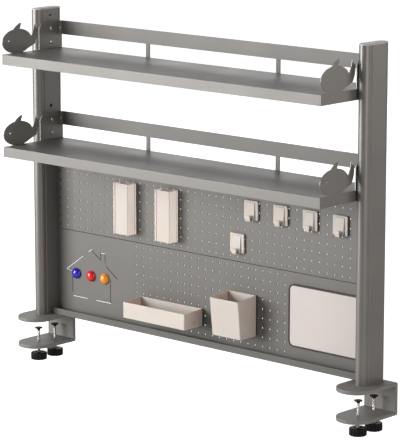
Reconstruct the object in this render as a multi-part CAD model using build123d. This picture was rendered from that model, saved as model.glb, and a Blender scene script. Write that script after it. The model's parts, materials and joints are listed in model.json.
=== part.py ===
from build123d import *
import os
from math import atan2, cos, degrees, hypot, pi, sin

os.makedirs("parts", exist_ok=True)

# Driving dimensions, in millimetres. X runs along the hutch, -Y is the user's side, Z = 0 is the desk top.
post_x = 455.0              # from the middle to each post's centre
post_width = 25.0
post_depth = 75.0
post_wall = 1.5
post_groove = (-22.0, -17.0, 0.8)    # front, rear and depth of the groove along both flat sides
post_end = 683.0            # top of the tube
cap_height = 3.0
cap_round = 2.0
cap_plug = 12.0
foot_height = 40.0
sheet = 1.5                 # shelves, angles and seam strip
plate = 2.0                 # brackets, rails and straps
slip = 0.2                  # gap of pieces that slide into one another
over = 1.0                  # how far a cutter runs past the face it cuts

clamp_width = 80.0
clamp_plate = 8.0
plate_top = 5.0             # where the post stands, above the height datum
clamp_front = -81.0
clamp_rear = 42.0
clamp_bend = 4.0
jaw_depth = 52.0            # from the desk top down to the lower plate
screw_rows = {"front": -34.0, "rear": 16.0}
spindle_diameter = 6.0
spindle_clearance = 0.4
nut_flats = 10.0
nut_height = 6.0
pad_top = -24.0
pad_diameter = 17.0
pad_disc = 2.0
pad_round = 0.6
pad_hub = 4.0
pad_hub_diameter = 7.5
journal_diameter = 4.2      # spindle end that turns in the pad
journal_clearance = 0.25
knob_diameter = 36.0
knob_top = -80.0
knob_height = 16.0
knob_floor = 4.0
knob_round = 1.8
knob_flutes = 16
flute_radius = 2.4

shelf_tops = {"upper": 597.0, "lower": 397.0}
shelf_front = -144.0
shelf_rear = 34.0
shelf_flange = 22.0
hem = 8.0

rail_low = 28.5             # above the shelf
rail_height = 30.0
rail_lug = 10.0
strap_x = (-182.0, 182.0)
strap_width = 11.0
strap_drop = 20.0
strap_rise = 50.5

bolt_rise = (14.0, 44.0)    # bracket bolts above the shelf
spare_rise = 74.0
spare_diameter = 7.0
bolt_diameter = 6.0
bolt_length = 12.0
bolt_head = (8.4, 2.6)
bolt_head_round = 1.6
rivet_diameter = 9.0
rivet_bulge = 10.8
rivet_length = 11.0

screw_head = (5.6, 2.0)     # pan head: diameter and height
screw_shank = 3.0
screw_clearance = 0.1
foot_screw_y = (-20.0, 20.0)
foot_screw_diameter = 5.0
foot_screw_end = 25.0
sink_diameter = 12.0        # countersunk head of a foot screw
sink_depth = 3.2
sink_below = 0.3
foot_side_screw = (25.0, 8.0)

panel_front = 14.5
panel_sheet = 2.0
panel_gap = 0.3             # to the posts and to the shelf above
panel_seam = 196.0
seam_gap = 1.4
hole_pitch = 20.0
hole_diameter = 3.6
upper_columns = 44
lower_columns = 22
hole_rows = 9
lower_column_start = -200.0
lower_row_start = 26.0
angle_leg = 15.0
angle_width = 9.5
angle_low = 26.0
angle_high = 370.0
strip_end = 430.0           # seam strip behind the panels
strip_half = 7.0

ledge_front = -5.0
ledge_height = 14.0
ledge_back = 18.0
ledge_sheet = 1.2
ledge_bend = 1.0

house_x = -336.5            # house outline cut in the lower panel
house_base = 49.0
house_slot = 1.6

board_left, board_right = 236.0, 430.0
board_low, board_high = 42.0, 173.0
board_corner = 13.0
board_fit = 0.1
edging_width = 3.0
edging_depth = 7.0
edging_round = 0.8
edging_rise = 1.5           # how far the edging stands above the board

magnet_sheet = 1.6          # black magnet backing of each accessory
magnet_inset = 1.0
panel_clearance = 0.2       # paint-thick gap between a magnet and the panel
plastic = 2.4               # wall of the moulded boxes
box_x = {"left": -220.0, "right": -98.0}
box_low = 215.0
box_size = (45.0, 25.0, 111.0)
box_round = 1.2
front_grooves = [(4.3, 3.4, 1.4), (42.6, 1.0, 1.0)]    # from the left edge, width and depth
parting_line = (4.6, 1.0, 0.6)                         # from the rear, width and depth
hook_places = [(131.5, 290.0), (211.0, 290.0), (289.5, 290.0), (368.0, 290.0), (93.5, 216.0)]
hook_tile = (38.0, 3.0, 41.0)
hook_corner = 3.0
hook_edge = 1.0
hook_bar = (22.0, 0.8, 3.0)  # width, and thickness at the top and at the bottom
hook_bar_ends = (1.0, 4.0)  # from the tile's lower and upper edge
hook_finger = (12.0, 2.2)   # width and thickness
hook_throat = 2.6           # radius of the bend
hook_bend = 2.0             # bend's centre above the tile's lower edge
hook_lip = 9.0
hook_lip_corner = 3.0
tray_x, tray_low = -93.7, 44.0
tray_width = 178.0
tray_depths = (58.0, 58.0)  # at the floor and at the front rim
tray_heights = (34.0, 37.0)  # at the front and at the rear
cup_x, cup_low = 106.1, 46.0
cup_width = 78.0
cup_depths = (49.5, 58.0)
cup_heights = (81.0, 87.0)
bin_round = 2.0             # upright corners of the tray and cup
dome_x = {"blue": -381.5, "red": -336.5, "orange": -295.0}
dome_z = 102.0
dome_diameter = 24.0
dome_height = 10.0
dome_rim = 3.0

# Worked out from the driving dimensions
inner_face = post_x - post_width / 2
shelf_end = inner_face - plate
desk_top = plate_top - clamp_plate
jaw_floor = desk_top - jaw_depth
plate_low = jaw_floor - clamp_plate
hub_low = pad_top - pad_disc - pad_hub
panel_end = inner_face - panel_gap
panel_rear = panel_front + panel_sheet
magnet_rear = panel_front - panel_clearance
body_rear = magnet_rear - magnet_sheet
sides = {"left": -1, "right": 1}


def block(x0, x1, y0, y1, z0, z1):
    return Pos((x0 + x1) / 2, (y0 + y1) / 2, (z0 + z1) / 2) * Box(abs(x1 - x0), y1 - y0, z1 - z0)


def rod_x(radius, x0, x1, y, z):
    return Pos((x0 + x1) / 2, y, z) * Rot(0, 90, 0) * Cylinder(radius, abs(x1 - x0))


def rod_y(radius, y0, y1, x, z):
    return Pos(x, (y0 + y1) / 2, z) * Rot(90, 0, 0) * Cylinder(radius, abs(y1 - y0))


def rod_z(radius, z0, z1, x, y):
    return Pos(x, y, (z0 + z1) / 2) * Cylinder(radius, z1 - z0)


def oval(x, z0, z1, shrink=0.0):
    outline = SlotOverall(post_depth - 2 * shrink, post_width - 2 * shrink, rotation=90)
    return extrude(Pos(x, 0, z0) * outline, z1 - z0)


def vertical_edges(part):
    return part.edges().filter_by(Axis.Z)


# The desk top is Z = 0 in the exported parts
def save(name, shape):
    export_step(Pos(0, 0, -desk_top) * shape, f"parts/{name}.step")


# Small pan-head screws: seat and tip lie along the axis, other holds the two remaining coordinates
small_screws = []


def small_screw(axis, seat, other, tip):
    rod = rod_x if axis == "x" else rod_y
    away = -1 if tip > seat else 1
    head = rod(screw_head[0] / 2, seat, seat + away * screw_head[1], *other)
    small_screws.append(head + rod(screw_shank / 2, seat, tip, *other))
    return rod(screw_shank / 2 + screw_clearance, seat, tip, *other)


# Posts, their caps and feet, and the bolts and rivet nuts that hold the shelf brackets
def post(side):
    tube = oval(side * post_x, plate_top, post_end)
    tube -= oval(side * post_x, plate_top - over, post_end + over, post_wall)
    front, rear, depth = post_groove
    for turned in sides.values():
        face = side * post_x + turned * post_width / 2
        corners = [(face, front), (face, rear), (face - turned * depth, (front + rear) / 2)]
        notch = make_face(Polyline(*corners, close=True))
        tube -= extrude(Pos(0, 0, plate_top) * notch, post_end - plate_top, dir=(0, 0, 1))
    wall = (side * (inner_face - over), side * (inner_face + post_wall + over))
    for top in shelf_tops.values():
        for rise in bolt_rise:
            tube -= rod_x(rivet_diameter / 2 + screw_clearance, *wall, 0, top + rise)
        tube -= rod_x(spare_diameter / 2, *wall, 0, top + spare_rise)
    return tube


def post_cap(side):
    lid = oval(side * post_x, post_end, post_end + cap_height)
    lid = fillet(lid.edges().group_by(Axis.Z)[-1], cap_round)
    return lid + oval(side * post_x, post_end - cap_plug, post_end, post_wall + slip)


def post_foot(side):
    foot = oval(side * post_x, plate_top, plate_top + foot_height, post_wall + slip)
    hole = foot_screw_diameter / 2 + screw_clearance
    for y in foot_screw_y:
        foot -= rod_z(hole, plate_top - over, foot_screw_end + over, side * post_x, y)
    return foot


def foot_screw(x, y, grow=0.0):
    shank = foot_screw_diameter / 2 + grow
    seat = desk_top + sink_below
    middle = seat + sink_depth / 2
    head = Pos(x, y, middle) * Cone(sink_diameter / 2 + grow, shank, sink_depth)
    return head + rod_z(shank, desk_top + sink_depth, foot_screw_end, x, y)


def bracket_bolt(side, z):
    seat = side * shelf_end
    head = rod_x(bolt_head[0] / 2, seat, seat - side * bolt_head[1], 0, z)
    head = fillet(head.edges().sort_by(Axis.X)[0 if side > 0 else -1], bolt_head_round)
    return head + rod_x(bolt_diameter / 2, seat, seat + side * bolt_length, 0, z)


def rivet_nut(side, z):
    start = side * inner_face
    sleeve = rod_x(rivet_diameter / 2, start, start + side * rivet_length, 0, z)
    bulge = start + side * (post_wall + screw_clearance)
    sleeve += rod_x(rivet_bulge / 2, bulge, bulge + side * plate, 0, z)
    bore = (start - side * over, start + side * (rivet_length + over))
    return sleeve - rod_x(bolt_diameter / 2 + screw_clearance, *bore, 0, z)


bolt_heights = [top + rise for top in shelf_tops.values() for rise in bolt_rise]
bolt_places = [(side, z) for side in sides.values() for z in bolt_heights]
posts = {name: post(side) for name, side in sides.items()}
post_feet = {name: post_foot(side) for name, side in sides.items()}
for name, side in sides.items():
    seat = post_depth / 2
    hole = small_screw("y", seat, (side * post_x, foot_side_screw[0]), seat - foot_side_screw[1])
    posts[name] -= hole
    post_feet[name] -= hole


# Clamps: a bent plate with a round-nosed jaw, and screws with a swivel pad above and a knob below
def clamp_outline(x):
    half = clamp_width / 2
    centre = clamp_front + half
    nose = Pos(x, centre) * Circle(half)
    return nose + Pos(x, (centre + clamp_rear) / 2) * Rectangle(clamp_width, clamp_rear - centre)


def clamp_bracket(side):
    x = side * post_x
    half = clamp_width / 2
    body = extrude(Pos(0, 0, desk_top) * clamp_outline(x), clamp_plate)
    body += extrude(Pos(0, 0, plate_low) * clamp_outline(x), clamp_plate)
    body += block(x - half, x + half, clamp_rear - clamp_plate, clamp_rear, plate_low, plate_top)
    bends = body.edges().filter_by(Axis.X).group_by(Axis.Y)[-1]
    body = fillet(bends, clamp_bend)
    for y in screw_rows.values():
        hole = spindle_diameter / 2 + spindle_clearance
        body -= rod_z(hole, plate_low - over, jaw_floor + over, x, y)
    for y in foot_screw_y:
        body -= foot_screw(x, y, screw_clearance)
        body -= rod_z(sink_diameter / 2 + screw_clearance, desk_top - over, desk_top + sink_below, x, y)
    return body


def clamp_nut(x, y):
    low = plate_low - nut_height
    hexagon = RegularPolygon(nut_flats / 2, 6, major_radius=False)
    body = Pos(x, y, low) * extrude(hexagon, nut_height)
    return body - rod_z(spindle_diameter / 2 + slip, low - over, plate_low + over, x, y)


def clamp_pad(x, y):
    disc = rod_z(pad_diameter / 2, pad_top - pad_disc, pad_top, x, y)
    disc = fillet(disc.edges().group_by(Axis.Z)[-1], pad_round)
    disc += rod_z(pad_hub_diameter / 2, hub_low, pad_top - pad_disc, x, y)
    socket = journal_diameter / 2 + journal_clearance
    return disc - rod_z(socket, hub_low - over, hub_low + pad_hub + slip, x, y)


def clamp_spindle(x, y):
    shoulder = hub_low - journal_clearance
    stem = rod_z(spindle_diameter / 2, knob_top - knob_height + knob_floor, shoulder, x, y)
    return stem + rod_z(journal_diameter / 2, shoulder, shoulder + pad_hub, x, y)


def clamp_knob(x, y):
    low = knob_top - knob_height
    knob = rod_z(knob_diameter / 2, low, knob_top, x, y)
    rims = knob.edges().group_by(Axis.Z)
    knob = fillet(rims[0] + rims[-1], knob_round)
    reach = knob_diameter / 2 + over
    for index in range(knob_flutes):
        turn = 2 * pi * index / knob_flutes
        flute = (x + reach * cos(turn), y + reach * sin(turn))
        knob -= rod_z(flute_radius, low - over, knob_top + over, *flute)
    return knob - rod_z(spindle_diameter / 2 + screw_clearance, low + knob_floor, knob_top + over, x, y)


# Shelves: folded sheet with flanges all round and a hem along the front and rear
def shelf(top):
    low = top - shelf_flange
    body = block(-shelf_end, shelf_end, shelf_front, shelf_rear, low, top)
    body = fillet(body.edges().group_by(Axis.Z)[-1], sheet)
    inside = shelf_end - sheet
    body -= block(-inside, inside, shelf_front + sheet, shelf_rear - sheet, low - over, top - sheet)
    body += block(-inside, inside, shelf_front, shelf_front + hem, low, low + sheet)
    body += block(-inside, inside, shelf_rear - hem, shelf_rear, low, low + sheet)
    return body


# Brackets: a flat plate with an end strip, a tab on the post and a whale-shaped bookend
whale_centre = (-100.5, 25.0)
whale_radii = (43.5, 26.5)
whale_eye = (-125.0, 27.0)
eye_diameter = 3.2


def whale_outline():
    body = Pos(*whale_centre) * Ellipse(*whale_radii)
    fin_front, fin_top, fin_tip, fin_rear = (-114.0, 46.0), (-93.0, 62.6), (-88.5, 62.0), (-94.5, 46.0)
    fin = make_face([
        ThreePointArc(fin_front, (-104.0, 56.5), fin_top),
        ThreePointArc(fin_top, (-90.4, 63.4), fin_tip),
        Line(fin_tip, fin_rear),
        Line(fin_rear, fin_front),
    ])
    left_fluke, notch, right_fluke = (-49.0, 58.0), (-44.0, 48.0), (-40.5, 51.0)
    root_top, root_low, tail_low = (-61.0, 27.0), (-84.0, 2.0), (-48.0, 15.0)
    tail = make_face([
        ThreePointArc(root_top, (-54.0, 40.0), left_fluke),
        ThreePointArc(left_fluke, (-46.0, 53.0), notch),
        Line(notch, right_fluke),
        ThreePointArc(right_fluke, (-40.2, 34.0), tail_low),
        ThreePointArc(tail_low, (-63.0, 9.0), root_low),
        Line(root_low, root_top),
    ])
    return body + fin + tail


def bracket_tab():
    front, top = -35.0, rail_low + rail_height - panel_gap
    slant_run, slant_rise = 9.0, 13.0
    corners = [
        (front, -shelf_flange),
        (shelf_rear, -shelf_flange),
        (shelf_rear, top),
        (front + slant_run, top),
        (front, top - slant_rise),
    ]
    return make_face(Polyline(*corners, close=True))


def bracket(side, top):
    strip_middle = ((shelf_front + shelf_rear) / 2, -shelf_flange / 2)
    strip = Pos(*strip_middle) * Rectangle(shelf_rear - shelf_front, shelf_flange)
    outline = strip + bracket_tab() + whale_outline()
    outline -= Pos(*whale_eye) * Circle(eye_diameter / 2)
    for rise in bolt_rise:
        outline -= Pos(0, rise) * Circle(bolt_diameter / 2 + slip)
    start = shelf_end if side > 0 else -shelf_end - plate
    return extrude(Plane.YZ.offset(start) * Pos(0, top) * outline, plate)


# Rails with bent lugs, and the straps that tie them to the shelves
rail_end = shelf_end - slip


def rail(top):
    low = top + rail_low
    high = low + rail_height
    front = shelf_rear - plate
    bar = block(-rail_end, rail_end, front, shelf_rear, low, high)
    for side in sides.values():
        lug = (side * rail_end, side * (rail_end - plate))
        bar += block(*lug, front - rail_lug, front, low, high)
    return bar


def rail_strap(x, top):
    half = strap_width / 2
    return block(x - half, x + half, shelf_rear, shelf_rear + plate, top - strap_drop, top + strap_rise)


# Panels: flat sheets with round holes, slots for the house outline in the lower one
panel_plane = Plane((0, panel_rear, 0), x_dir=(1, 0, 0), z_dir=(0, -1, 0))


def hole_grid(first_x, columns, first_z):
    wires = []
    for column in range(columns):
        for row in range(hole_rows):
            centre = (first_x + hole_pitch * column, panel_rear, first_z + hole_pitch * row)
            place = Plane(centre, panel_plane.x_dir, panel_plane.z_dir)
            wires.append(Wire.make_circle(hole_diameter / 2, place))
    return wires


def sheet_with_holes(z0, z1, wires):
    corners = [(-panel_end, z0), (panel_end, z0), (panel_end, z1), (-panel_end, z1)]
    outline = Wire.make_polygon([(x, panel_rear, z) for x, z in corners], close=True)
    return extrude(Face(outline, wires), panel_sheet, dir=(0, -1, 0))


def slot_between(start, end):
    length = hypot(end[0] - start[0], end[1] - start[1])
    turn = degrees(atan2(end[1] - start[1], end[0] - start[0]))
    middle = ((start[0] + end[0]) / 2 + house_x, (start[1] + end[1]) / 2 + house_base)
    return Pos(*middle) * SlotCenterToCenter(length, house_slot, rotation=turn)


def house_wires():
    wall, wall_top, eave, eave_z, apex = 58.5, 52.0, 78.0, 58.0, 112.0
    chimney_left, chimney_right, chimney_top = 29.0, 42.0, 108.0
    door, bridge = 13.0, 3.0
    slope = (apex - eave_z) / eave

    def roof(x):
        return (x, apex - slope * abs(x))

    lines = [
        (roof(-eave), roof(-2 * door)),
        (roof(-eave), (-wall - bridge, eave_z - bridge)),
        (roof(bridge - door), roof(0.0)),
        (roof(0.0), roof(chimney_left)),
        (roof(chimney_left), (chimney_left, chimney_top)),
        ((chimney_left, chimney_top), (chimney_right, chimney_top)),
        ((chimney_right, chimney_top), (chimney_right, roof(chimney_right)[1] + 2 * bridge)),
        (roof(chimney_right + bridge), roof(eave)),
        ((-wall, wall_top - 2 * bridge), (-wall, 3 * bridge)),
        ((wall, wall_top), (wall, 0.0)),
        ((-wall, 0.0), (-door, 0.0)),
        ((door, 0.0), (wall, 0.0)),
    ]
    slots = Sketch() + [slot_between(*line) for line in lines]
    return [face.outer_wire() for face in (panel_plane * slots).faces()]


def upper_panel():
    first_x = -hole_pitch * (upper_columns - 1) / 2
    wires = hole_grid(first_x, upper_columns, panel_seam + hole_pitch / 2)
    return sheet_with_holes(panel_seam + seam_gap, shelf_tops["lower"] - shelf_flange - panel_gap, wires)


def lower_panel():
    wires = hole_grid(lower_column_start, lower_columns, lower_row_start)
    return sheet_with_holes(plate_top + ledge_sheet, panel_seam, wires + house_wires())


def panel_angle(side):
    face = side * inner_face
    height = (angle_low, angle_high)
    leg = block(face, face - side * sheet, panel_rear, panel_rear + angle_leg, *height)
    return leg + block(face, face - side * angle_width, panel_rear, panel_rear + sheet, *height)


def seam_strip():
    height = (panel_seam - strip_half, panel_seam + strip_half)
    return block(-strip_end, strip_end, panel_rear, panel_rear + sheet, *height)


def ledge():
    low = plate_top
    rear = panel_rear + ledge_sheet
    floor = block(-panel_end, panel_end, ledge_front, rear, low, low + ledge_sheet)
    lip = block(-panel_end, panel_end, ledge_front, ledge_front + ledge_sheet, low, low + ledge_height)
    back = block(-panel_end, panel_end, panel_rear, rear, low, low + ledge_back)
    front_edges = (floor + lip + back).edges().filter_by(Axis.X).group_by(Axis.Y)[0]
    return fillet(front_edges.sort_by(Axis.Z)[0], ledge_bend)


# Whiteboard with its black edging
def board_outline(inset):
    middle = ((board_left + board_right) / 2, (board_low + board_high) / 2)
    width = board_right - board_left - 2 * inset
    height = board_high - board_low - 2 * inset
    return Pos(*middle) * RectangleRounded(width, height, board_corner - inset)


def towards_user(y, outline, depth):
    return extrude(Plane.XZ.offset(-y) * outline, depth)


def edging():
    ring = towards_user(magnet_rear, board_outline(0) - board_outline(edging_width), edging_depth)
    return fillet(ring.edges().group_by(Axis.Y)[0], edging_round)


def whiteboard():
    return towards_user(magnet_rear, board_outline(edging_width + board_fit), edging_depth - edging_rise)


# Accessories held on the panels by magnet backings
def magnet(x, low, width, height):
    half = width / 2 - magnet_inset
    return block(x - half, x + half, body_rear, magnet_rear, low + magnet_inset, low + height - magnet_inset)


def open_box(x, low, size, wall):
    width, depth, height = size
    half = width / 2 - wall
    high = low + height + (over if wall else 0)
    return block(x - half, x + half, body_rear - depth + wall, body_rear - wall, low + wall, high)


def pen_box(x):
    width, depth, height = box_size
    front = body_rear - depth
    span = (box_low - over, box_low + height + over)
    body = open_box(x, box_low, box_size, 0)
    body = fillet(vertical_edges(body).group_by(Axis.Y)[0], box_round)
    for start, groove, deep in front_grooves:
        left = x - width / 2 + start
        body -= block(left, left + groove, front - over, front + deep, *span)
    from_rear, groove, deep = parting_line
    rear = body_rear - from_rear
    for side in sides.values():
        face = x + side * width / 2
        body -= block(face - side * deep, face + side * over, rear - groove, rear, *span)
    return body - open_box(x, box_low, box_size, plastic)


def hook_bar_profile(back, low, high):
    foot, head = low + hook_bar_ends[0], high - hook_bar_ends[1]
    top, bottom = back - hook_bar[1], back - hook_bar[2]
    return make_face(Polyline((back, foot), (back, head), (top, head), (bottom, foot), close=True))


def hook_finger_profile(back, low):
    thick = hook_finger[1]
    outer = hook_throat + thick
    y, z = back - hook_bar[2] - hook_throat, low + hook_bend
    ring = Pos(y, z) * (Circle(outer) - Circle(hook_throat))
    ring -= Pos(y, z + outer) * Rectangle(4 * outer, 2 * outer)
    return ring + Pos(y - outer + thick / 2, z + hook_lip / 2) * Rectangle(thick, hook_lip)


def across(x, width, profile):
    return extrude(Plane.YZ.offset(x - width / 2) * profile, width)


def hook(x, low):
    width, thick, height = hook_tile
    tile = Pos(x, low + height / 2) * RectangleRounded(width, height, hook_corner)
    tile = towards_user(body_rear, tile, thick)
    tile = fillet(tile.edges().group_by(Axis.Y)[0], hook_edge)
    back = body_rear - thick
    bar = across(x, hook_bar[0], hook_bar_profile(back, low, low + height))
    finger = across(x, hook_finger[0], hook_finger_profile(back, low))
    finger = fillet(finger.edges().filter_by(Axis.Y).group_by(Axis.Z)[-1], hook_lip_corner)
    return tile + bar + finger


def bin_profile(low, depths, heights, inset, rise):
    slope = (depths[1] - depths[0]) / heights[0]

    def front(z):
        return (body_rear - depths[0] - slope * (z - low) + inset, z)

    rear, floor = body_rear - inset, low + inset
    front_rim, rear_rim = (low + height + rise for height in heights)
    return make_face(Polyline((rear, floor), (rear, rear_rim), front(front_rim), front(floor), close=True))


def open_bin(x, low, width, depths, heights):
    outer = across(x, width, bin_profile(low, depths, heights, 0, 0))
    upright = [edge for edge in outer.edges() if edge.bounding_box().size.Z > heights[0] / 2]
    outer = fillet(upright, bin_round)
    return outer - across(x, width - 2 * plastic, bin_profile(low, depths, heights, plastic, over))


def dome(x):
    radius = dome_diameter / 2
    crown = dome_height - dome_rim
    ball = (radius ** 2 + crown ** 2) / (2 * crown)
    above_rim = Pos(0, 0, dome_rim + dome_height) * Box(4 * radius, 4 * radius, 2 * dome_height)
    top = Pos(0, 0, dome_height - ball) * Sphere(ball) & above_rim
    return Pos(x, magnet_rear, dome_z) * Rot(90, 0, 0) * (top + rod_z(radius, 0, dome_rim, 0, 0))


# Fasten the sheet-metal pieces: each screw leaves its own hole in what it goes through
shelf_screw_y = (-95.0, -20.0)
shelf_screw_drop = 12.0
lug_screw = (27.0, 43.5)    # Y, and height above the shelf
strap_screw_rise = 42.5
angle_screw_back = 8.0
angle_screw_z = (60.0, 196.0, 332.0)
angle_screw_tip = 6.0
panel_screw_z = {"lower": (40.0, 110.0, 180.0), "upper": (216.0, 290.0, 360.0)}
panel_screw_from_post = 5.2
rear_screw_x = (-400.0, -210.0, 0.0, 210.0, 400.0)
ledge_screw_rise = 11.0
strip_screw_rise = 3.5
screw_bite = 1.0            # into a sheet from behind
plate_bite = 1.5            # into a bracket from inside

shelves = {name: shelf(top) for name, top in shelf_tops.items()}
rails = {name: rail(top) for name, top in shelf_tops.items()}
straps = {(name, x): rail_strap(x, top) for name, top in shelf_tops.items() for x in strap_x}
brackets = {(name, end): bracket(sides[end], top) for name, top in shelf_tops.items() for end in sides}
panels = {"upper": upper_panel(), "lower": lower_panel()}
angles = {name: panel_angle(side) for name, side in sides.items()}
trough = ledge()
strip = seam_strip()

for name, top in shelf_tops.items():
    for end, side in sides.items():
        tip = side * (shelf_end + plate_bite)
        for y in shelf_screw_y:
            hole = small_screw("x", side * (shelf_end - sheet), (y, top - shelf_screw_drop), tip)
            shelves[name] -= hole
            brackets[name, end] -= hole
        hole = small_screw("x", side * (rail_end - plate), (lug_screw[0], top + lug_screw[1]), tip)
        rails[name] -= hole
        brackets[name, end] -= hole
    for x in strap_x:
        seat = shelf_rear + plate
        for z, target in ((top - shelf_screw_drop, shelves), (top + strap_screw_rise, rails)):
            hole = small_screw("y", seat, (x, z), shelf_rear - screw_bite)
            straps[name, x] -= hole
            target[name] -= hole

for name, side in sides.items():
    face = side * inner_face
    tip = face + side * angle_screw_tip
    for z in angle_screw_z:
        hole = small_screw("x", face - side * sheet, (panel_rear + angle_screw_back, z), tip)
        angles[name] -= hole
        posts[name] -= hole
    for target, heights in panel_screw_z.items():
        for z in heights:
            place = (face - side * panel_screw_from_post, z)
            hole = small_screw("y", panel_rear + sheet, place, panel_rear - screw_bite)
            angles[name] -= hole
            panels[target] -= hole
for x in rear_screw_x:
    place = (x, plate_top + ledge_screw_rise)
    hole = small_screw("y", panel_rear + ledge_sheet, place, panel_rear - screw_bite)
    trough -= hole
    panels["lower"] -= hole
    for target, rise in (("lower", -strip_screw_rise), ("upper", strip_screw_rise)):
        hole = small_screw("y", panel_rear + sheet, (x, panel_seam + rise), panel_rear - screw_bite)
        strip -= hole
        panels[target] -= hole

# Write one file for each node
for name, side in sides.items():
    x = side * post_x
    save(f"{name}_post", posts[name])
    save(f"{name}_clamp_bracket", clamp_bracket(side))
    for row, y in screw_rows.items():
        save(f"{name}_{row}_clamp_pad", clamp_pad(x, y))
        save(f"{name}_{row}_clamp_spindle", clamp_spindle(x, y))
        save(f"{name}_{row}_clamp_knob", clamp_knob(x, y))

post_places = [side * post_x for side in sides.values()]
save("post_caps", Compound([post_cap(side) for side in sides.values()]))
save("post_feet", Compound(list(post_feet.values())))
save("post_foot_screws", Compound([foot_screw(x, y) for x in post_places for y in foot_screw_y]))
save("clamp_nuts", Compound([clamp_nut(x, y) for x in post_places for y in screw_rows.values()]))
save("bracket_bolts", Compound([bracket_bolt(*place) for place in bolt_places]))
save("rivet_nuts", Compound([rivet_nut(*place) for place in bolt_places]))
save("small_screws", Compound(small_screws))
save("rail_straps", Compound(list(straps.values())))
save("panel_angles", Compound(list(angles.values())))
save("ledge", trough)
save("seam_strip", strip)
save("whiteboard", whiteboard())
save("whiteboard_edging", edging())

for name in shelf_tops:
    save(f"{name}_shelf", shelves[name])
    save(f"{name}_rail", rails[name])
    save(f"{name}_panel", panels[name])
    for end in sides:
        save(f"{name}_{end}_bracket", brackets[name, end])

for name, x in box_x.items():
    save(f"{name}_pen_box", pen_box(x))
    save(f"{name}_pen_box_magnet", magnet(x, box_low, box_size[0], box_size[2]))
for number, (x, low) in enumerate(hook_places, start=1):
    save(f"hook_{number}", hook(x, low))
    save(f"hook_{number}_magnet", magnet(x, low, hook_tile[0], hook_tile[2]))
save("pen_tray", open_bin(tray_x, tray_low, tray_width, tray_depths, tray_heights))
save("pen_tray_magnet", magnet(tray_x, tray_low, tray_width, tray_heights[1]))
save("pen_cup", open_bin(cup_x, cup_low, cup_width, cup_depths, cup_heights))
save("pen_cup_magnet", magnet(cup_x, cup_low, cup_width, cup_heights[1]))
for name, x in dome_x.items():
    save(f"{name}_magnet", dome(x))
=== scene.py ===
import json
import math
import bmesh
import bpy
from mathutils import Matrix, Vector


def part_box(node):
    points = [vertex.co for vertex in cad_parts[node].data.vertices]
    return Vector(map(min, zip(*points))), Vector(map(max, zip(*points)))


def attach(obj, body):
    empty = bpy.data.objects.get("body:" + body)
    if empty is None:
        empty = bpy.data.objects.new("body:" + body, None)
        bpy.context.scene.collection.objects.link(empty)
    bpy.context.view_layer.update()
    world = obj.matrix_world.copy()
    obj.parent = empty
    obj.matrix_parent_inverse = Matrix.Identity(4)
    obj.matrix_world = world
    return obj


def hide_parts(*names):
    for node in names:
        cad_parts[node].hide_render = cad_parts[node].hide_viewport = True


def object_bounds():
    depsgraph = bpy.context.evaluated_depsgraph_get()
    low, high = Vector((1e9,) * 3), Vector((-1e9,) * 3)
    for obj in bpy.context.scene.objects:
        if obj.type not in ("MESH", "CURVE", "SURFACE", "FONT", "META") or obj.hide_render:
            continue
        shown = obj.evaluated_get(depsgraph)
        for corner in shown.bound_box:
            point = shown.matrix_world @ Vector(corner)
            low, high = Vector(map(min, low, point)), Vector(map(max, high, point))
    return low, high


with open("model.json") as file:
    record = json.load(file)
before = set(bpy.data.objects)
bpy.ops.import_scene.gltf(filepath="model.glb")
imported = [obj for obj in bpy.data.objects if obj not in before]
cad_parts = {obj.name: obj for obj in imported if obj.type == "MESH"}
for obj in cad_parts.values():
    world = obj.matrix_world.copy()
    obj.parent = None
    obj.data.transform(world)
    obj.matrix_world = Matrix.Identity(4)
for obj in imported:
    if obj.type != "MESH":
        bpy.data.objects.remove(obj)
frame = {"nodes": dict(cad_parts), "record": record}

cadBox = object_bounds()
nodes = frame["nodes"]
mm = 0.001                       # metres
meldDistance = 0.001 * mm        # closer points are one
print("frame loaded with", len(nodes), "nodes")


# Node helpers shared by the finishes
def addNode(tree, kind, values=None, links=None):
    node = tree.nodes.new(kind)
    for name, value in (values or {}).items():
        node.inputs[name].default_value = value
    for name, socket in (links or {}).items():
        tree.links.new(socket, node.inputs[name])
    return node


def newFinish(name):
    finish = bpy.data.materials.new(name)
    finish.use_nodes = True
    tree = finish.node_tree
    tree.nodes.clear()
    output = tree.nodes.new("ShaderNodeOutputMaterial")
    shader = tree.nodes.new("ShaderNodeBsdfPrincipled")
    tree.links.new(shader.outputs["BSDF"], output.inputs["Surface"])
    place = tree.nodes.new("ShaderNodeTexCoord").outputs["Object"]
    return finish, tree, shader, place


def noiseOf(tree, place, scale, detail, stretch=None):
    if stretch:
        place = addNode(tree, "ShaderNodeMapping", {"Scale": stretch}, {"Vector": place}).outputs["Vector"]
    node = addNode(tree, "ShaderNodeTexNoise", {"Scale": scale, "Detail": detail}, {"Vector": place})
    return node.outputs["Fac"]


def spread(tree, value, low, high, fromLow=0.3, fromHigh=0.7):
    ranges = {"From Min": fromLow, "From Max": fromHigh, "To Min": low, "To Max": high}
    return addNode(tree, "ShaderNodeMapRange", ranges, {"Value": value}).outputs["Result"]


def blendColours(tree, amount, first, second):
    node = tree.nodes.new("ShaderNodeMix")
    node.data_type = "RGBA"
    tree.links.new(amount, node.inputs["Factor"])
    for socket, colour in ((node.inputs[6], first), (node.inputs[7], second)):
        if isinstance(colour, bpy.types.NodeSocket):
            tree.links.new(colour, socket)
        else:
            socket.default_value = (*colour, 1.0)
    return node.outputs[2]


def roughen(tree, shader, height, distance, strength):
    bump = addNode(tree, "ShaderNodeBump", {"Strength": strength, "Distance": distance}, {"Height": height})
    tree.links.new(bump.outputs["Normal"], shader.inputs["Normal"])


def scaled(colour, factor):
    return tuple(channel * factor for channel in colour)


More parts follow.
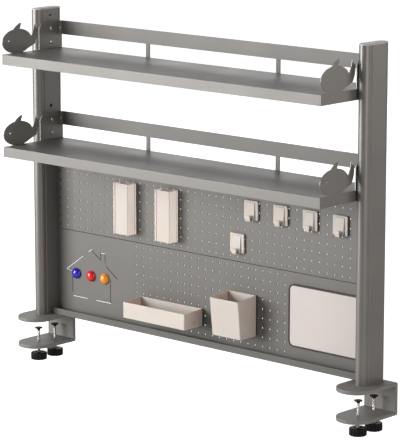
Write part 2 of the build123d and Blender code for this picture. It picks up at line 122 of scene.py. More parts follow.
# Powder-coated steel: a fine grain, soft patches and a satin sheen
paintValues = {
    "colour": (0.225, 0.219, 0.210),
    "darkest": 0.90,
    "speck": 1.10,
    "speckShare": 0.5,           # of the speck's tone at the most
    "speckGrain": (0.55, 0.75),  # of the grain, where specks begin and are full
    "patches": 7.0,
    "patchDetail": 5.0,
    "grain": 1400.0,
    "grainDetail": 2.0,
    "roughness": (0.34, 0.44),
    "metallic": 0.6,
    "height": 0.03 * mm,
    "relief": 0.5,
}
sheetValues = {**paintValues, "roughness": (0.44, 0.54), "metallic": 0.35}
railValues = {**paintValues, "roughness": (0.52, 0.62), "metallic": 0.15}
# near-black painted shade for the walls of holes and slots and for the strip behind the seam
paintedShadeValues = {**paintValues, "colour": (0.035, 0.034, 0.032), "roughness": (0.6, 0.75), "metallic": 0.1}
# painted shade: each tone darkens the one powder coat for a group of parts, to the light those parts get
paintedShadeTones = {"shelf": 0.9, "clamp": 0.96, "panel": 0.69, "rail": 0.87, "ledge": 0.6}


def powderCoat(name, v, tone=1.0):
    finish, tree, shader, place = newFinish(name)
    # the tone darkens the coat as painted shade
    coat = scaled(v["colour"], tone)
    shader.inputs["Metallic"].default_value = v["metallic"]
    patches = noiseOf(tree, place, v["patches"], v["patchDetail"])
    grain = noiseOf(tree, place, v["grain"], v["grainDetail"])
    colour = blendColours(tree, spread(tree, patches, 0, 1), scaled(coat, v["darkest"]), coat)
    specks = spread(tree, grain, 0, v["speckShare"], *v["speckGrain"])
    colour = blendColours(tree, specks, colour, scaled(coat, v["speck"]))
    tree.links.new(colour, shader.inputs["Base Color"])
    tree.links.new(spread(tree, patches, *v["roughness"]), shader.inputs["Roughness"])
    roughen(tree, shader, grain, v["height"], v["relief"])
    return finish


# Bright zinc on the screws, nuts and spindles
zincValues = {
    "colour": (0.82, 0.805, 0.78),
    "dull": (0.60, 0.58, 0.55),
    "spangle": 260.0,
    "spangleDetail": 4.0,
    "scratches": 900.0,
    "scratchDetail": 2.0,
    "scratchStretch": (1, 1, 0.1),
    "roughness": (0.16, 0.32),
    "height": 0.01 * mm,
    "relief": 0.5,
}


def zincPlate(name, v):
    finish, tree, shader, place = newFinish(name)
    spangle = noiseOf(tree, place, v["spangle"], v["spangleDetail"])
    scratches = noiseOf(tree, place, v["scratches"], v["scratchDetail"], v["scratchStretch"])
    colour = blendColours(tree, spread(tree, spangle, 0, 1), v["dull"], v["colour"])
    tree.links.new(colour, shader.inputs["Base Color"])
    tree.links.new(spread(tree, scratches, *v["roughness"]), shader.inputs["Roughness"])
    shader.inputs["Metallic"].default_value = 1.0
    roughen(tree, shader, scratches, v["height"], v["relief"])
    return finish


# Moulded plastics and rubber share one build: mottle, fine texture, own sheen, and painted shade in crevices
# where asked
mouldValues = {
    "mottleDetail": 4.0,
    "textureDetail": 2.0,
    "relief": 0.6,
    "openness": (0.45, 0.95),    # where a crevice is full and where it ends
}


def moulded(name, v):
    v = {**mouldValues, **v}
    finish, tree, shader, place = newFinish(name)
    mottle = noiseOf(tree, place, v["mottle"], v["mottleDetail"])
    texture = noiseOf(tree, place, v["texture"], v["textureDetail"])
    colour = blendColours(tree, spread(tree, mottle, 0, 1), v["dark"], v["colour"])
    # painted shade: ambient occlusion darkens grooves and inner corners towards the crevice colour
    if "crevice" in v:                       # grooves and inner corners hold some shade
        shade = addNode(tree, "ShaderNodeAmbientOcclusion", {"Distance": v["reach"]})
        shade.only_local = True
        openness = spread(tree, shade.outputs["AO"], 0, 1, *v["openness"])
        colour = blendColours(tree, openness, v["crevice"], colour)
    tree.links.new(colour, shader.inputs["Base Color"])
    tree.links.new(spread(tree, mottle, *v["roughness"]), shader.inputs["Roughness"])
    for socket, value in v.get("sockets", {}).items():
        shader.inputs[socket].default_value = value
    roughen(tree, shader, texture, v["height"], v["relief"])
    return finish


creamValues = {
    "colour": (0.645, 0.59, 0.55),
    "dark": (0.62, 0.562, 0.517),
    # painted shade: the crevice colour and its reach darken grooves and inner corners
    "crevice": (0.16, 0.125, 0.10),
    "reach": 3.0 * mm,           # of the shade in a crevice
    "mottle": 24.0,
    "texture": 2200.0,
    "roughness": (0.38, 0.5),
    "height": 0.02 * mm,
    "sockets": {"Subsurface Weight": 0.4, "Subsurface Radius": (1.0, 0.45, 0.22), "Subsurface Scale": 0.006},
}
knobValues = {
    "colour": (0.005, 0.005, 0.005),
    "dark": (0.003, 0.003, 0.003),
    "mottle": 120.0,
    "texture": 1600.0,
    "roughness": (0.38, 0.55),
    "height": 0.04 * mm,
    "sockets": {"Specular IOR Level": 0.22},
}
magnetSheetValues = {
    "colour": (0.022, 0.02, 0.019),
    "dark": (0.012, 0.011, 0.010),
    "mottle": 300.0,
    "texture": 2600.0,
    "roughness": (0.65, 0.85),
    "height": 0.05 * mm,
}
edgingValues = {
    "colour": (0.030, 0.022, 0.020),
    "dark": (0.020, 0.014, 0.013),
    "mottle": 90.0,
    "texture": 1800.0,
    "roughness": (0.35, 0.5),
    "height": 0.02 * mm,
}
boardValues = {
    "colour": (0.635, 0.578, 0.552),
    "dark": (0.62, 0.563, 0.537),
    "mottle": 11.0,
    "texture": 500.0,
    "roughness": (0.42, 0.52),
    "height": 0.006 * mm,
    "sockets": {"Coat Weight": 0.05, "Coat Roughness": 0.2},
}
capValues = {
    "colour": (0.500, 0.488, 0.470),
    "dark": (0.460, 0.448, 0.430),
    "mottle": 40.0,
    "texture": 1500.0,
    "roughness": (0.45, 0.6),
    "height": 0.04 * mm,
}
padValues = {
    "colour": (0.009, 0.008, 0.007),
    "dark": (0.005, 0.004, 0.004),
    "mottle": 200.0,
    "texture": 1800.0,
    "roughness": (0.5, 0.7),
    "height": 0.04 * mm,
    "sockets": {"Specular IOR Level": 0.3},
}
domeValues = {
    "blue": ((0.030, 0.008, 0.56), (0.015, 0.004, 0.36)),
    "red": ((0.78, 0.006, 0.008), (0.52, 0.002, 0.004)),
    "orange": ((0.92, 0.34, 0.012), (0.74, 0.24, 0.006)),
}
domeFinish = {
    "mottle": 55.0,
    "texture": 700.0,
    "roughness": (0.14, 0.24),
    "height": 0.008 * mm,
    "sockets": {"Coat Weight": 0.7, "Coat Roughness": 0.06},
}

paint = powderCoat("warmGreyPowderCoat", paintValues)
# copies of the one powder coat, each darkened by its painted shade tone
shelfPaintShaded = powderCoat("shelfPowderCoatPaintedShade", sheetValues, paintedShadeTones["shelf"])
clampPaintShaded = powderCoat("clampPowderCoatPaintedShade", railValues, paintedShadeTones["clamp"])
panelPaintShaded = powderCoat("panelPowderCoatPaintedShade", sheetValues, paintedShadeTones["panel"])
railPaintShaded = powderCoat("railPowderCoatPaintedShade", railValues, paintedShadeTones["rail"])
ledgePaintShaded = powderCoat("ledgePowderCoatPaintedShade", sheetValues, paintedShadeTones["ledge"])
paintedShadeCoat = powderCoat("paintedShadeSteel", paintedShadeValues)
zinc = zincPlate("brightZinc", zincValues)
cream = moulded("creamMouldedPlastic", creamValues)
knobBlack = moulded("knobBlackPlastic", knobValues)
magnetBlack = moulded("magnetSheet", magnetSheetValues)
edgingBlack = moulded("edgingRubber", edgingValues)
boardWhite = moulded("dryWipeEnamel", boardValues)
capGrey = moulded("capGreyPlastic", capValues)
padRubber = moulded("padRubber", padValues)
domes = {}
for shade, (colour, dark) in domeValues.items():
    domes[shade] = moulded(f"{shade}GlossPlastic", {**domeFinish, "colour": colour, "dark": dark})
print("finishes made")


# Every carried-over solid takes the finish of its record slot, or a copy of the powder coat darkened by
# painted shade, or the near-black painted shade
finishOfSlot = {
    "frame_paint": paint,
    "cap_grey": capGrey,
    "zinc_steel": zinc,
    "pad_rubber": padRubber,
    "cream_plastic": cream,
    "black_plastic": knobBlack,
    "magnet_rubber": magnetBlack,
    "edging_black": edgingBlack,
    "board_white": boardWhite,
    "blue_gloss": domes["blue"],
    "red_gloss": domes["red"],
    "orange_gloss": domes["orange"],
}
slotOfNode = {part["node"]: part["material_slot"] for part in frame["record"]["subparts"]}
bodyOfNode = {node: body for body, held in frame["record"]["behaviour"]["bodies"].items() for node in held}
ownFinish = {
    "upper_panel": panelPaintShaded,
    "lower_panel": panelPaintShaded,
    "panel_angles": panelPaintShaded,
    # painted shade: the strip seen through the seam's gap is near black, so the seam reads dark
    "seam_strip": paintedShadeCoat,
    "left_clamp_bracket": clampPaintShaded,
    "right_clamp_bracket": clampPaintShaded,
    "ledge": ledgePaintShaded,
    "upper_shelf": shelfPaintShaded,
    "lower_shelf": shelfPaintShaded,
    "upper_rail": railPaintShaded,
    "lower_rail": railPaintShaded,
    "rail_straps": railPaintShaded,
}
finishOf = {name: ownFinish.get(name, finishOfSlot[slot]) for name, slot in slotOfNode.items()}
for name, solid in nodes.items():
    solid.data.materials.clear()
    solid.data.materials.append(finishOf[name])
print("finishes given to the solids")


# Mesh helpers
grownCrease = 38.0               # degrees, on pieces grown by nodes


def newPiece(name, mesh):
    piece = bpy.data.objects.new(name, mesh)
    bpy.context.scene.collection.objects.link(piece)
    return piece


def settle(piece):
    graph = bpy.context.evaluated_depsgraph_get()
    made = bpy.data.meshes.new_from_object(piece.evaluated_get(graph))
    piece.modifiers.clear()
    piece.data = made


def smoothByAngle(piece, degrees):
    mesh = piece.data
    mesh.polygons.foreach_set("use_smooth", [True] * len(mesh.polygons))
    mesh.set_sharp_from_angle(angle=math.radians(degrees))


def mergedCopy(node):
    bm = bmesh.new()
    bm.from_mesh(nodes[node].data)
    bmesh.ops.remove_doubles(bm, verts=bm.verts, dist=meldDistance)
    return bm


def standIn(piece, node):
    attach(piece, bodyOfNode[node])
    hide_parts(node)


# Sheet and moulded edges are broken: a small round on every sharp corner
edgeValues = {
    "flat": 0.5,                 # degrees between faces that become one
    "angle": 35.0,               # degrees from which an edge is broken
    "segments": 2,
    "crease": 20.0,              # degrees from which the shading has a crease
    "breadth": 1.5 * mm,         # a face broader than this is a plane and not part of a round
    "widths": {                  # millimetres
        0.25: ["ledge", "panel_angles", "seam_strip", "whiteboard"]
        + [name for name, slot in slotOfNode.items() if slot == "magnet_rubber"],
        0.3: ["upper_rail", "lower_rail", "rail_straps", "upper_shelf", "lower_shelf"],
        0.35: [f"{row}_{end}_bracket" for row in ("upper", "lower") for end in ("left", "right")],
        0.4: ["clamp_nuts"] + [f"hook_{number}" for number in range(1, 6)],
        0.5: ["left_pen_box", "right_pen_box", "pen_tray", "pen_cup"],
        1.2: ["left_clamp_bracket", "right_clamp_bracket"],
    },
}


def flattenPlanes(piece, breadth):
    for face in piece.data.polygons:
        corners = [piece.data.vertices[index].co for index in face.vertices]
        outline = sum((a - b).length for a, b in zip(corners, corners[1:] + corners[:1]))
        face.use_smooth = face.area < breadth * outline


def brokenEdges(node, width, v):
    bm = mergedCopy(node)
    bmesh.ops.dissolve_limit(bm, angle_limit=math.radians(v["flat"]), verts=bm.verts, edges=bm.edges)
    mesh = bpy.data.meshes.new(node)
    bm.to_mesh(mesh)
    bm.free()
    mesh.materials.append(finishOf[node])
    piece = newPiece(f"{node}_edged", mesh)
    bevel = piece.modifiers.new("edges", "BEVEL")
    bevel.width = width
    bevel.segments = v["segments"]
    bevel.limit_method = "ANGLE"
    bevel.angle_limit = math.radians(v["angle"])
    bevel.use_clamp_overlap = False
    settle(piece)
    smoothByAngle(piece, v["crease"])
    flattenPlanes(piece, v["breadth"])
    standIn(piece, node)


for width, held in edgeValues["widths"].items():
    for node in held:
        brokenEdges(node, width * mm, edgeValues)
print("edges broken")


# Punched panels: the walls of the holes, slots and outer edges get a near-black painted shade, darker than
# the coated faces
punchValues = {"facing": 0.5}    # of the normal, from which a face is painted


def punched(node, v):
    bm = mergedCopy(node)
    for face in bm.faces:
        # faces across the sheet keep the panel's coat; walls and edges take the near-black painted shade
        face.material_index = 0 if abs(face.normal.y) > v["facing"] else 1
    mesh = bpy.data.meshes.new(node)
    bm.to_mesh(mesh)
    bm.free()
    for finish in (finishOf[node], paintedShadeCoat):
        mesh.materials.append(finish)
    standIn(newPiece(f"{node}_punched", mesh), node)


for panel in ("upper_panel", "lower_panel"):
    punched(panel, punchValues)
print("panels punched")


# Geometry Nodes helpers
def newTree(name, sockets):
    tree = bpy.data.node_groups.new(name, "GeometryNodeTree")
    tree.interface.new_socket("Geometry", in_out="INPUT", socket_type="NodeSocketGeometry")
    for label, kind in sockets.items():
        tree.interface.new_socket(label, in_out="INPUT", socket_type=f"NodeSocket{kind}")
    tree.interface.new_socket("Geometry", in_out="OUTPUT", socket_type="NodeSocketGeometry")
    return tree, tree.nodes.new("NodeGroupInput").outputs, tree.nodes.new("NodeGroupOutput").inputs


def linkOrSet(tree, socket, value):
    if isinstance(value, bpy.types.NodeSocket):
        tree.links.new(value, socket)
    else:
        socket.default_value = value


def calc(tree, operation, *values):
    node = tree.nodes.new("ShaderNodeMath")
    node.operation = operation
    for socket, value in zip(node.inputs, values):
        linkOrSet(tree, socket, value)
    return node.outputs[0]


def vectorOf(tree, x, y, z):
    node = tree.nodes.new("ShaderNodeCombineXYZ")
    for socket, value in zip(node.inputs, (x, y, z)):
        linkOrSet(tree, socket, value)
    return node.outputs[0]


def geo(tree, kind, values=None, **options):
    node = tree.nodes.new(f"GeometryNode{kind}")
    for name, value in options.items():
        setattr(node, name, value)
    for name, value in (values or {}).items():
        linkOrSet(tree, node.inputs[name], value)
    return node


def profileCurve(tree, value, points):
    node = tree.nodes.new("ShaderNodeFloatCurve")
    curve = node.mapping.curves[0]
    while len(curve.points) < len(points):
        curve.points.new(0.5, 0.5)
    for point, (x, y) in zip(curve.points, points):
        point.location = (x, y)
        point.handle_type = "VECTOR"
    node.mapping.update()
    tree.links.new(value, node.inputs["Value"])
    return node.outputs["Value"]


# A sheet of quads whose columns go round an axis, the last onto the first, and whose rows follow a profile
def turnedSheet(tree, columns, rows):
    sheet = geo(tree, "MeshGrid", {"Size X": 1.0, "Size Y": 1.0, "Vertices X": columns, "Vertices Y": rows})
    place = tree.nodes.new("ShaderNodeSeparateXYZ")
    tree.links.new(tree.nodes.new("GeometryNodeInputPosition").outputs[0], place.inputs[0])
    around = calc(tree, "ADD", place.outputs["X"], 0.5)
    along = calc(tree, "ADD", place.outputs["Y"], 0.5)
    return sheet.outputs["Mesh"], around, along


def profileSheet(tree, columns, profile):
    sheet, around, along = turnedSheet(tree, columns, len(profile))
    step = 1 / (len(profile) - 1)
    radii = [(step * index, radius) for index, (radius, height) in enumerate(profile)]
    heights = [(step * index, height) for index, (radius, height) in enumerate(profile)]
    return sheet, around, profileCurve(tree, along, radii), profileCurve(tree, along, heights)


def wrapSheet(tree, sheet, around, radius, height, centre=None):
    angle = calc(tree, "MULTIPLY", around, 2 * math.pi)
    x = calc(tree, "MULTIPLY", radius, calc(tree, "COSINE", angle))
    y = calc(tree, "MULTIPLY", radius, calc(tree, "SINE", angle))
    wrapped = geo(tree, "SetPosition", {"Geometry": sheet, "Position": vectorOf(tree, x, y, height)})
    shape = wrapped.outputs["Geometry"]
    if centre is not None:
        shape = geo(tree, "SetPosition", {"Geometry": shape, "Offset": centre}).outputs["Geometry"]
    return geo(tree, "MergeByDistance", {"Geometry": shape, "Distance": meldDistance}).outputs["Geometry"]


def endTree(tree, shape, finish, end):
    whole = geo(tree, "RealizeInstances", {"Geometry": shape})
    painted = geo(tree, "SetMaterial", {"Geometry": whole.outputs["Geometry"], "Material": finish})
    tree.links.new(painted.outputs["Geometry"], end["Geometry"])


def growPiece(name, tree, values, mesh=None):
    piece = newPiece(name, mesh or bpy.data.meshes.new(name))
    modifier = piece.modifiers.new("shape", "NODES")
    modifier.node_group = tree
    inputs = [item for item in tree.interface.items_tree if item.in_out == "INPUT"]
    identifiers = {item.name: item.identifier for item in inputs}
    for label, value in values.items():
        modifier[identifiers[label]] = value
    settle(piece)
    smoothByAngle(piece, grownCrease)
    return piece


# Screws and bolts: domed heads with a cross or hexagon recess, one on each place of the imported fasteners
fastenerShape = {
    "columns": 25,
    "shankSides": 12,
    "profile": [                 # shares of the head's radius and height, from the seat to the crown
        (0, 0), (0.985, 0), (1, 0.08), (0.985, 0.4), (0.92, 0.66), (0.8, 0.83), (0.58, 0.94),
        (0.3, 0.99), (0, 1),
    ],
}


def fastenerTree(v):
    sockets = {
        "Head Radius": "Float", "Head Height": "Float", "Hexagon": "Bool", "Recess Radius": "Float",
        "Recess Width": "Float", "Recess Depth": "Float", "Shank Radius": "Float", "Finish": "Material",
    }
    tree, start, end = newTree("fastener", sockets)
    sheet, around, wide, tall = profileSheet(tree, v["columns"], v["profile"])
    radius = calc(tree, "MULTIPLY", wide, start["Head Radius"])
    height = calc(tree, "MULTIPLY", tall, start["Head Height"])
    head = wrapSheet(tree, sheet, around, radius, height)
    length = calc(tree, "MULTIPLY", start["Recess Radius"], 2.0)
    deep = calc(tree, "MULTIPLY", start["Recess Depth"], 2.0)
    bars = [geo(tree, "MeshCube", {"Size": vectorOf(tree, *size, deep)}).outputs["Mesh"]
            for size in ((length, start["Recess Width"]), (start["Recess Width"], length))]
    cross = geo(tree, "JoinGeometry")
    for bar in bars:
        tree.links.new(bar, cross.inputs["Geometry"])
    hexagon = geo(tree, "MeshCylinder", {"Vertices": 6, "Radius": start["Recess Radius"], "Depth": deep})
    choice = geo(tree, "Switch", {"Switch": start["Hexagon"], "False": cross.outputs["Geometry"],
                                  "True": hexagon.outputs["Mesh"]}, input_type="GEOMETRY")
    raised = geo(tree, "Transform", {"Geometry": choice.outputs[0],
                                     "Translation": vectorOf(tree, 0.0, 0.0, start["Head Height"])})
    cut = geo(tree, "MeshBoolean", {"Mesh 1": head, "Mesh 2": raised.outputs["Geometry"],
                                    "Self Intersection": True}, operation="DIFFERENCE", solver="EXACT")
    facing = geo(tree, "InputNamedAttribute", {"Name": "facing"}, data_type="FLOAT_VECTOR")
    reach = geo(tree, "InputNamedAttribute", {"Name": "reach"}, data_type="FLOAT")
    turn = tree.nodes.new("FunctionNodeAlignRotationToVector")
    turn.axis = "Z"
    tree.links.new(facing.outputs["Attribute"], turn.inputs["Vector"])
    heads = geo(tree, "InstanceOnPoints", {"Points": start["Geometry"], "Instance": cut.outputs["Mesh"],
                                           "Rotation": turn.outputs[0]})
    unit = {"Vertices": v["shankSides"], "Radius": start["Shank Radius"], "Depth": 1.0}
    shank = geo(tree, "MeshCylinder", unit)
    hung = geo(tree, "Transform", {"Geometry": shank.outputs["Mesh"], "Translation": (0.0, 0.0, -0.5)})
    stretch = vectorOf(tree, 1.0, 1.0, reach.outputs["Attribute"])
    hanging = {"Points": start["Geometry"], "Instance": hung.outputs["Geometry"],
               "Rotation": turn.outputs[0], "Scale": stretch}
    shanks = geo(tree, "InstanceOnPoints", hanging)
    both = geo(tree, "JoinGeometry")
    for part in (heads, shanks):
        tree.links.new(part.outputs["Instances"], both.inputs["Geometry"])
    endTree(tree, both.outputs["Geometry"], start["Finish"], end)
    return tree


def looseParts(bm):
    left = set(bm.verts)
    for first in bm.verts:
        if first not in left:
            continue
        left.discard(first)
        points, edge = [], [first]
        while edge:
            vertex = edge.pop()
            points.append(vertex.co.copy())
            for link in vertex.link_edges:
                other = link.other_vert(vertex)
                if other in left:
                    left.discard(other)
                    edge.append(other)
        yield points


# The axis of a fastener is the odd one of its three extents, and its head is the wider end
def fastenerPlaces(node, headDiameter, headHeight):
    bm = mergedCopy(node)
    places = []
    for points in looseParts(bm):
        low = Vector([min(p[i] for p in points) for i in range(3)])
        high = Vector([max(p[i] for p in points) for i in range(3)])
        middle = (low + high) / 2
        axis = max(range(3), key=lambda i: abs(high[i] - low[i] - headDiameter))
        others = [i for i in range(3) if i != axis]
        ends = {}
        for sign, level in ((-1, low[axis]), (1, high[axis])):
            near = [p for p in points if abs(p[axis] - level) < headHeight / 2]
            ends[sign] = max(math.hypot(*(p[i] - middle[i] for i in others)) for p in near)
        sign = max(ends, key=ends.get)
        seat = middle.copy()
        seat[axis] = (high[axis] - headHeight) if sign > 0 else (low[axis] + headHeight)
        facing = Vector((0, 0, 0))
        facing[axis] = sign
        places.append((seat, facing, high[axis] - low[axis] - headHeight))
    bm.free()
    return places


def fastenerPoints(name, places):
    mesh = bpy.data.meshes.new(name)
    mesh.from_pydata([seat for seat, facing, reach in places], [], [])
    mesh.attributes.new("facing", "FLOAT_VECTOR", "POINT")
    mesh.attributes.new("reach", "FLOAT", "POINT")
    for index, (seat, facing, reach) in enumerate(places):
        mesh.attributes["facing"].data[index].vector = facing
        mesh.attributes["reach"].data[index].value = reach
    return mesh


fastenerValues = {
    "small_screws": {
        "Head Radius": 2.8 * mm, "Head Height": 2.0 * mm, "Hexagon": False, "Recess Radius": 1.5 * mm,
        "Recess Width": 0.6 * mm, "Recess Depth": 1.1 * mm, "Shank Radius": 1.5 * mm, "Finish": zinc,
    },
    "bracket_bolts": {
        "Head Radius": 4.2 * mm, "Head Height": 2.6 * mm, "Hexagon": True, "Recess Radius": 2.0 * mm,
        "Recess Width": 0.6 * mm, "Recess Depth": 1.5 * mm, "Shank Radius": 3.0 * mm, "Finish": zinc,
    },
}
fastener = fastenerTree(fastenerShape)
for node, v in fastenerValues.items():
    places = fastenerPlaces(node, 2 * v["Head Radius"], v["Head Height"])
    piece = growPiece(f"{node}_recessed", fastener, v, fastenerPoints(node, places))
    standIn(piece, node)
    print(node, len(places), "placed")


# Clamp spindles with their thread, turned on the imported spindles' axes
spindleValues = {"Thread Depth": 0.32 * mm, "Pitch": 1.0 * mm, "Journal Radius": 2.1 * mm, "Finish": zinc}
spindleShape = {
    "columns": 25,
    "rowsPerPitch": 8,
    "journalLength": 4.0 * mm,
    "halfLength": 0.4999,        # share of the length each way from the middle, beyond which the end closes
}


def spindleTree(v):
    sockets = {
        "Centre": "Vector", "Low": "Float", "Shoulder": "Float", "High": "Float", "Radius": "Float",
        "Thread Depth": "Float", "Pitch": "Float", "Journal Radius": "Float", "Rows": "Int",
        "Finish": "Material",
    }
    tree, start, end = newTree("threadedSpindle", sockets)
    sheet, around, along = turnedSheet(tree, v["columns"], start["Rows"])
    length = calc(tree, "SUBTRACT", start["High"], start["Low"])
    height = calc(tree, "MULTIPLY_ADD", along, length, start["Low"])
    turns = calc(tree, "SUBTRACT", calc(tree, "DIVIDE", height, start["Pitch"]), around)
    ridge = calc(tree, "MULTIPLY", calc(tree, "PINGPONG", turns, 0.5), 2.0)
    threaded = calc(tree, "SUBTRACT", start["Radius"], calc(tree, "MULTIPLY", ridge, start["Thread Depth"]))
    above = calc(tree, "GREATER_THAN", height, start["Shoulder"])
    radii = {"Switch": above, "False": threaded, "True": start["Journal Radius"]}
    choice = geo(tree, "Switch", radii, input_type="FLOAT")
    fromMiddle = calc(tree, "ABSOLUTE", calc(tree, "SUBTRACT", along, 0.5))
    inside = calc(tree, "LESS_THAN", fromMiddle, v["halfLength"])
    radius = calc(tree, "MULTIPLY", choice.outputs[0], inside)
    stem = wrapSheet(tree, sheet, around, radius, height, start["Centre"])
    endTree(tree, stem, start["Finish"], end)
    return tree


# Fluted knobs: scallops round the rim, a dished underside and a raised collar round the spindle
knobSize = {"Radius": 17.95 * mm, "Flutes": 16, "Flute Depth": 1.4 * mm, "Finish": knobBlack}
knobShape = {
    "columns": 193,
    "fluteBias": 0.3,            # makes the flutes wider than the ribs
    "fluteFrom": 0.88,           # share of the radius
    "profile": [                 # shares of the radius and height, from the dish to the collar
        (0.0, 0.14), (0.5, 0.14), (0.58, 0.12), (0.63, 0.03), (0.67, 0.0), (0.9, 0.0), (0.955, 0.03),
        (0.99, 0.085), (1.0, 0.16), (1.0, 0.84), (0.99, 0.915), (0.955, 0.97), (0.9, 1.0), (0.48, 1.0),
        (0.44, 0.93), (0.40, 0.9), (0.34, 0.9), (0.32, 0.98), (0.29, 1.0), (0.0, 1.0),
    ],
}


def knobTree(v):
    sockets = {
        "Centre": "Vector", "Low": "Float", "Height": "Float", "Radius": "Float", "Flutes": "Int",
        "Flute Depth": "Float", "Finish": "Material",
    }
    tree, start, end = newTree("flutedKnob", sockets)
    sheet, around, wide, tall = profileSheet(tree, v["columns"], v["profile"])
    turned = calc(tree, "MULTIPLY", calc(tree, "MULTIPLY", around, 2 * math.pi), start["Flutes"])
    wave = calc(tree, "ADD", calc(tree, "COSINE", turned), v["fluteBias"])
    scallop = calc(tree, "MAXIMUM", calc(tree, "DIVIDE", wave, 1 + v["fluteBias"]), 0.0)
    outside = calc(tree, "GREATER_THAN", wide, v["fluteFrom"])
    rim = geo(tree, "Switch", {"Switch": outside, "False": 0.0, "True": 1.0}, input_type="FLOAT")
    dip = calc(tree, "MULTIPLY", calc(tree, "MULTIPLY", scallop, rim.outputs[0]), start["Flute Depth"])
    radius = calc(tree, "SUBTRACT", calc(tree, "MULTIPLY", wide, start["Radius"]), dip)
    height = calc(tree, "MULTIPLY_ADD", tall, start["Height"], start["Low"])
    endTree(tree, wrapSheet(tree, sheet, around, radius, height, start["Centre"]), start["Finish"], end)
    return tree


spindle = spindleTree(spindleShape)
knob = knobTree(knobShape)
for side in ("left", "right"):
    for row in ("front", "rear"):
        low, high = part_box(f"{side}_{row}_clamp_spindle")
        centre = ((low[0] + high[0]) / 2, (low[1] + high[1]) / 2, 0.0)
        rows = round((high[2] - low[2]) / spindleValues["Pitch"] * spindleShape["rowsPerPitch"])
        shoulder = high[2] - spindleShape["journalLength"]
        place = {"Centre": centre, "Low": low[2], "High": high[2], "Shoulder": shoulder,
                 "Radius": (high[0] - low[0]) / 2, "Rows": rows}
        piece = growPiece(f"{side}_{row}_spindle_thread", spindle, {**spindleValues, **place})
        standIn(piece, f"{side}_{row}_clamp_spindle")
        low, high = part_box(f"{side}_{row}_clamp_knob")
        place = {"Centre": centre, "Low": low[2], "Height": high[2] - low[2]}
        piece = growPiece(f"{side}_{row}_knob_fluted", knob, {**knobSize, **place})
        standIn(piece, f"{side}_{row}_clamp_knob")
print("spindles and knobs turned")


# Perforations: the slight rolled rim that punching and paint leave round each hole
rimSize = {"Pitch": 20 * mm, "Hole Radius": 1.9 * mm, "Rim Radius": 0.15 * mm, "Finish": panelPaintShaded}
rimShape = {"ringSides": 16, "wireSides": 4}
rimPlaces = {                    # heights are above the panel's lower edge
    "upper_panel": {"Columns": 44, "Rows": 9, "middle": 0.0 * mm, "height": 88.6 * mm},
    "lower_panel": {"Columns": 22, "Rows": 9, "middle": 10.0 * mm, "height": 99.8 * mm},
}


def rimTree(v):
    sockets = {
        "Columns": "Int", "Rows": "Int", "Pitch": "Float", "Middle": "Vector", "Hole Radius": "Float",
        "Rim Radius": "Float", "Finish": "Material",
    }
    tree, start, end = newTree("holeRims", sockets)
    width = calc(tree, "MULTIPLY", calc(tree, "SUBTRACT", start["Columns"], 1.0), start["Pitch"])
    height = calc(tree, "MULTIPLY", calc(tree, "SUBTRACT", start["Rows"], 1.0), start["Pitch"])
    holes = geo(tree, "MeshGrid", {"Size X": width, "Size Y": height, "Vertices X": start["Columns"],
                                   "Vertices Y": start["Rows"]})
    ring = geo(tree, "CurvePrimitiveCircle", {"Resolution": v["ringSides"], "Radius": start["Hole Radius"]})
    wire = geo(tree, "CurvePrimitiveCircle", {"Resolution": v["wireSides"], "Radius": start["Rim Radius"]})
    rim = geo(tree, "CurveToMesh", {"Curve": ring.outputs["Curve"], "Profile Curve": wire.outputs["Curve"]})
    rims = geo(tree, "InstanceOnPoints", {"Points": holes.outputs["Mesh"], "Instance": rim.outputs["Mesh"]})
    upright = geo(tree, "Transform", {"Geometry": rims.outputs["Instances"], "Translation": start["Middle"],
                                      "Rotation": (math.pi / 2, 0.0, 0.0)})
    endTree(tree, upright.outputs["Geometry"], start["Finish"], end)
    return tree


rims = rimTree(rimShape)
for panel, v in rimPlaces.items():
    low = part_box(panel)[0]
    place = {
        "Columns": v["Columns"], "Rows": v["Rows"],
        "Middle": (v["middle"], low[1], low[2] + v["height"]),
    }
    piece = growPiece(f"{panel}_hole_rims", rims, {**rimSize, **place})
    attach(piece, "frame")
print("holes rimmed")


# Floor, light and camera
stageValues = {
    "floorDrop": 26.0 * mm,      # below the lowest knob, clear of a screw turned all the way down
    "floorSize": 60.0,
    "floorColour": (0.5, 0.5, 0.5),
    "floorRoughness": 0.9,
    "floorGlowColour": (1.0, 1.0, 1.0),
    "floorGlow": 0.14,
    "floorGlowSeen": 1.0,        # what the camera sees of the glow
    "skyColour": (1.0, 1.0, 1.0),
    "skyStrength": 0.12,
    "skyStrengthSeen": 1.0,      # what the camera sees of the sky
}
lampValues = {                   # places and sizes in metres, power in watts
    "key": {
        "place": (-2.0, -2.6, 1.0), "aim": (0, 0, 0.9), "size": (2.2, 1.9),
        "power": 134, "tint": (1, 0.985, 0.965),
    },
    "fill": {
        "place": (3.4, -0.8, 1.2), "aim": (0, 0, 0.3), "size": (2.6, 2.2),
        "power": 50, "tint": (1, 0.915, 0.83),
    },
    "side": {
        "place": (2.8, 2.4, 0.8), "aim": (0, 0, 0.3), "size": (1.4, 1.4),
        "power": 10, "tint": (1, 0.98, 0.96),
    },
    "top": {
        "place": (-0.6, -0.6, 3.2), "aim": (0, 0, 0.3), "size": (2.0, 2.0),
        "power": 26, "tint": (1, 1, 1),
    },
    "back": {
        "place": (-2.9, 3.2, 1.3), "aim": (0, 0, 0.4), "size": (2.6, 1.8),
        "power": 34, "tint": (1, 1, 1),
    },
}
boxLamp = {                      # reaches the pen boxes only, and only the left one's magnet shades it
    "place": (3.0, 0.35, 0.5), "aim": (-0.2, 0, 0.27), "size": (0.5, 0.5),
    "power": 78, "tint": (1, 0.97, 0.95),
    "reaches": ("left_pen_box_edged", "right_pen_box_edged"),
    "shadedBy": ("left_pen_box_magnet_edged",),
}
cameraValues = {
    "azimuth": 42.367,           # degrees round from the front towards the right
    "pitch": 11.195,             # degrees looking down
    "distance": 5.2545,
    "target": (0.002, 0.0, 0.27634),
    "lens": 205.42,              # millimetres
    "sensor": 36.0,              # millimetres, along the longer side of the picture
    "sight": 100.0,
}


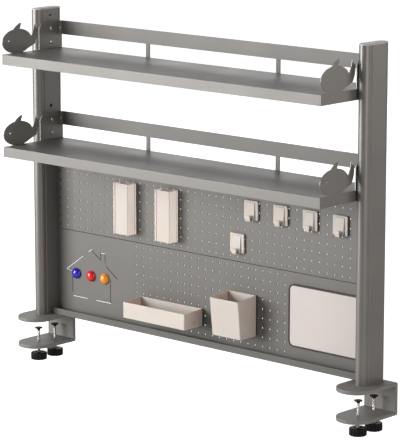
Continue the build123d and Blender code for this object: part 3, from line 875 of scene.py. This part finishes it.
def makeFloor(v):
    bm = bmesh.new()
    bmesh.ops.create_grid(bm, x_segments=1, y_segments=1, size=v["floorSize"] / 2)
    bmesh.ops.translate(bm, vec=(0, 0, cadBox[0].z - v["floorDrop"]), verts=bm.verts)
    mesh = bpy.data.meshes.new("studioFloor")
    bm.to_mesh(mesh)
    bm.free()
    finish, tree, shader, place = newFinish("paleFloor")
    shader.inputs["Base Color"].default_value = (*v["floorColour"], 1.0)
    shader.inputs["Roughness"].default_value = v["floorRoughness"]
    shader.inputs["Emission Color"].default_value = (*v["floorGlowColour"], 1.0)
    seen = tree.nodes.new("ShaderNodeLightPath").outputs["Is Camera Ray"]
    glow = spread(tree, seen, v["floorGlow"], v["floorGlowSeen"], 0, 1)
    tree.links.new(glow, shader.inputs["Emission Strength"])
    mesh.materials.append(finish)
    newPiece("studioFloor", mesh)


def makeSky(v):
    world = bpy.data.worlds.new("studioSky")
    world.use_nodes = True
    tree = world.node_tree
    background = tree.nodes["Background"]
    background.inputs["Color"].default_value = (*v["skyColour"], 1.0)
    seen = tree.nodes.new("ShaderNodeLightPath").outputs["Is Camera Ray"]
    strength = spread(tree, seen, v["skyStrength"], v["skyStrengthSeen"], 0, 1)
    tree.links.new(strength, background.inputs["Strength"])
    bpy.context.scene.world = world


def makeLamp(name, v):
    lamp = bpy.data.lights.new(name, "AREA")
    lamp.energy = v["power"]
    lamp.shape = "RECTANGLE"
    lamp.size, lamp.size_y = v["size"]
    lamp.color = v["tint"]
    holder = bpy.data.objects.new(name, lamp)
    holder.location = v["place"]
    towards = Vector(v["aim"]) - Vector(v["place"])
    holder.rotation_euler = towards.to_track_quat("-Z", "Y").to_euler()
    holder.visible_camera = False
    bpy.context.scene.collection.objects.link(holder)
    return holder


def gathered(name, pieces):
    group = bpy.data.collections.new(name)
    for piece in pieces:
        group.objects.link(bpy.data.objects[piece])
    return group


def makeCamera(v):
    azimuth, pitch = math.radians(v["azimuth"]), math.radians(v["pitch"])
    level = math.cos(pitch)
    back = Vector((math.sin(azimuth) * level, -math.cos(azimuth) * level, math.sin(pitch)))
    data = bpy.data.cameras.new("photoCamera")
    data.lens = v["lens"]
    data.sensor_width = v["sensor"]
    data.clip_end = v["sight"]
    camera = bpy.data.objects.new("photoCamera", data)
    camera.location = Vector(v["target"]) + back * v["distance"]
    camera.rotation_euler = (-back).to_track_quat("-Z", "Y").to_euler()
    bpy.context.scene.collection.objects.link(camera)
    bpy.context.scene.camera = camera


makeFloor(stageValues)
makeSky(stageValues)
for name, v in lampValues.items():
    makeLamp(f"{name}Lamp", v)
boxLight = makeLamp("boxLamp", boxLamp)
boxLight.light_linking.receiver_collection = gathered("penBoxes", boxLamp["reaches"])
boxLight.light_linking.blocker_collection = gathered("boxLampBlockers", boxLamp["shadedBy"])
makeCamera(cameraValues)
bpy.context.scene.view_settings.view_transform = "Standard"
print("floor, light and camera set")
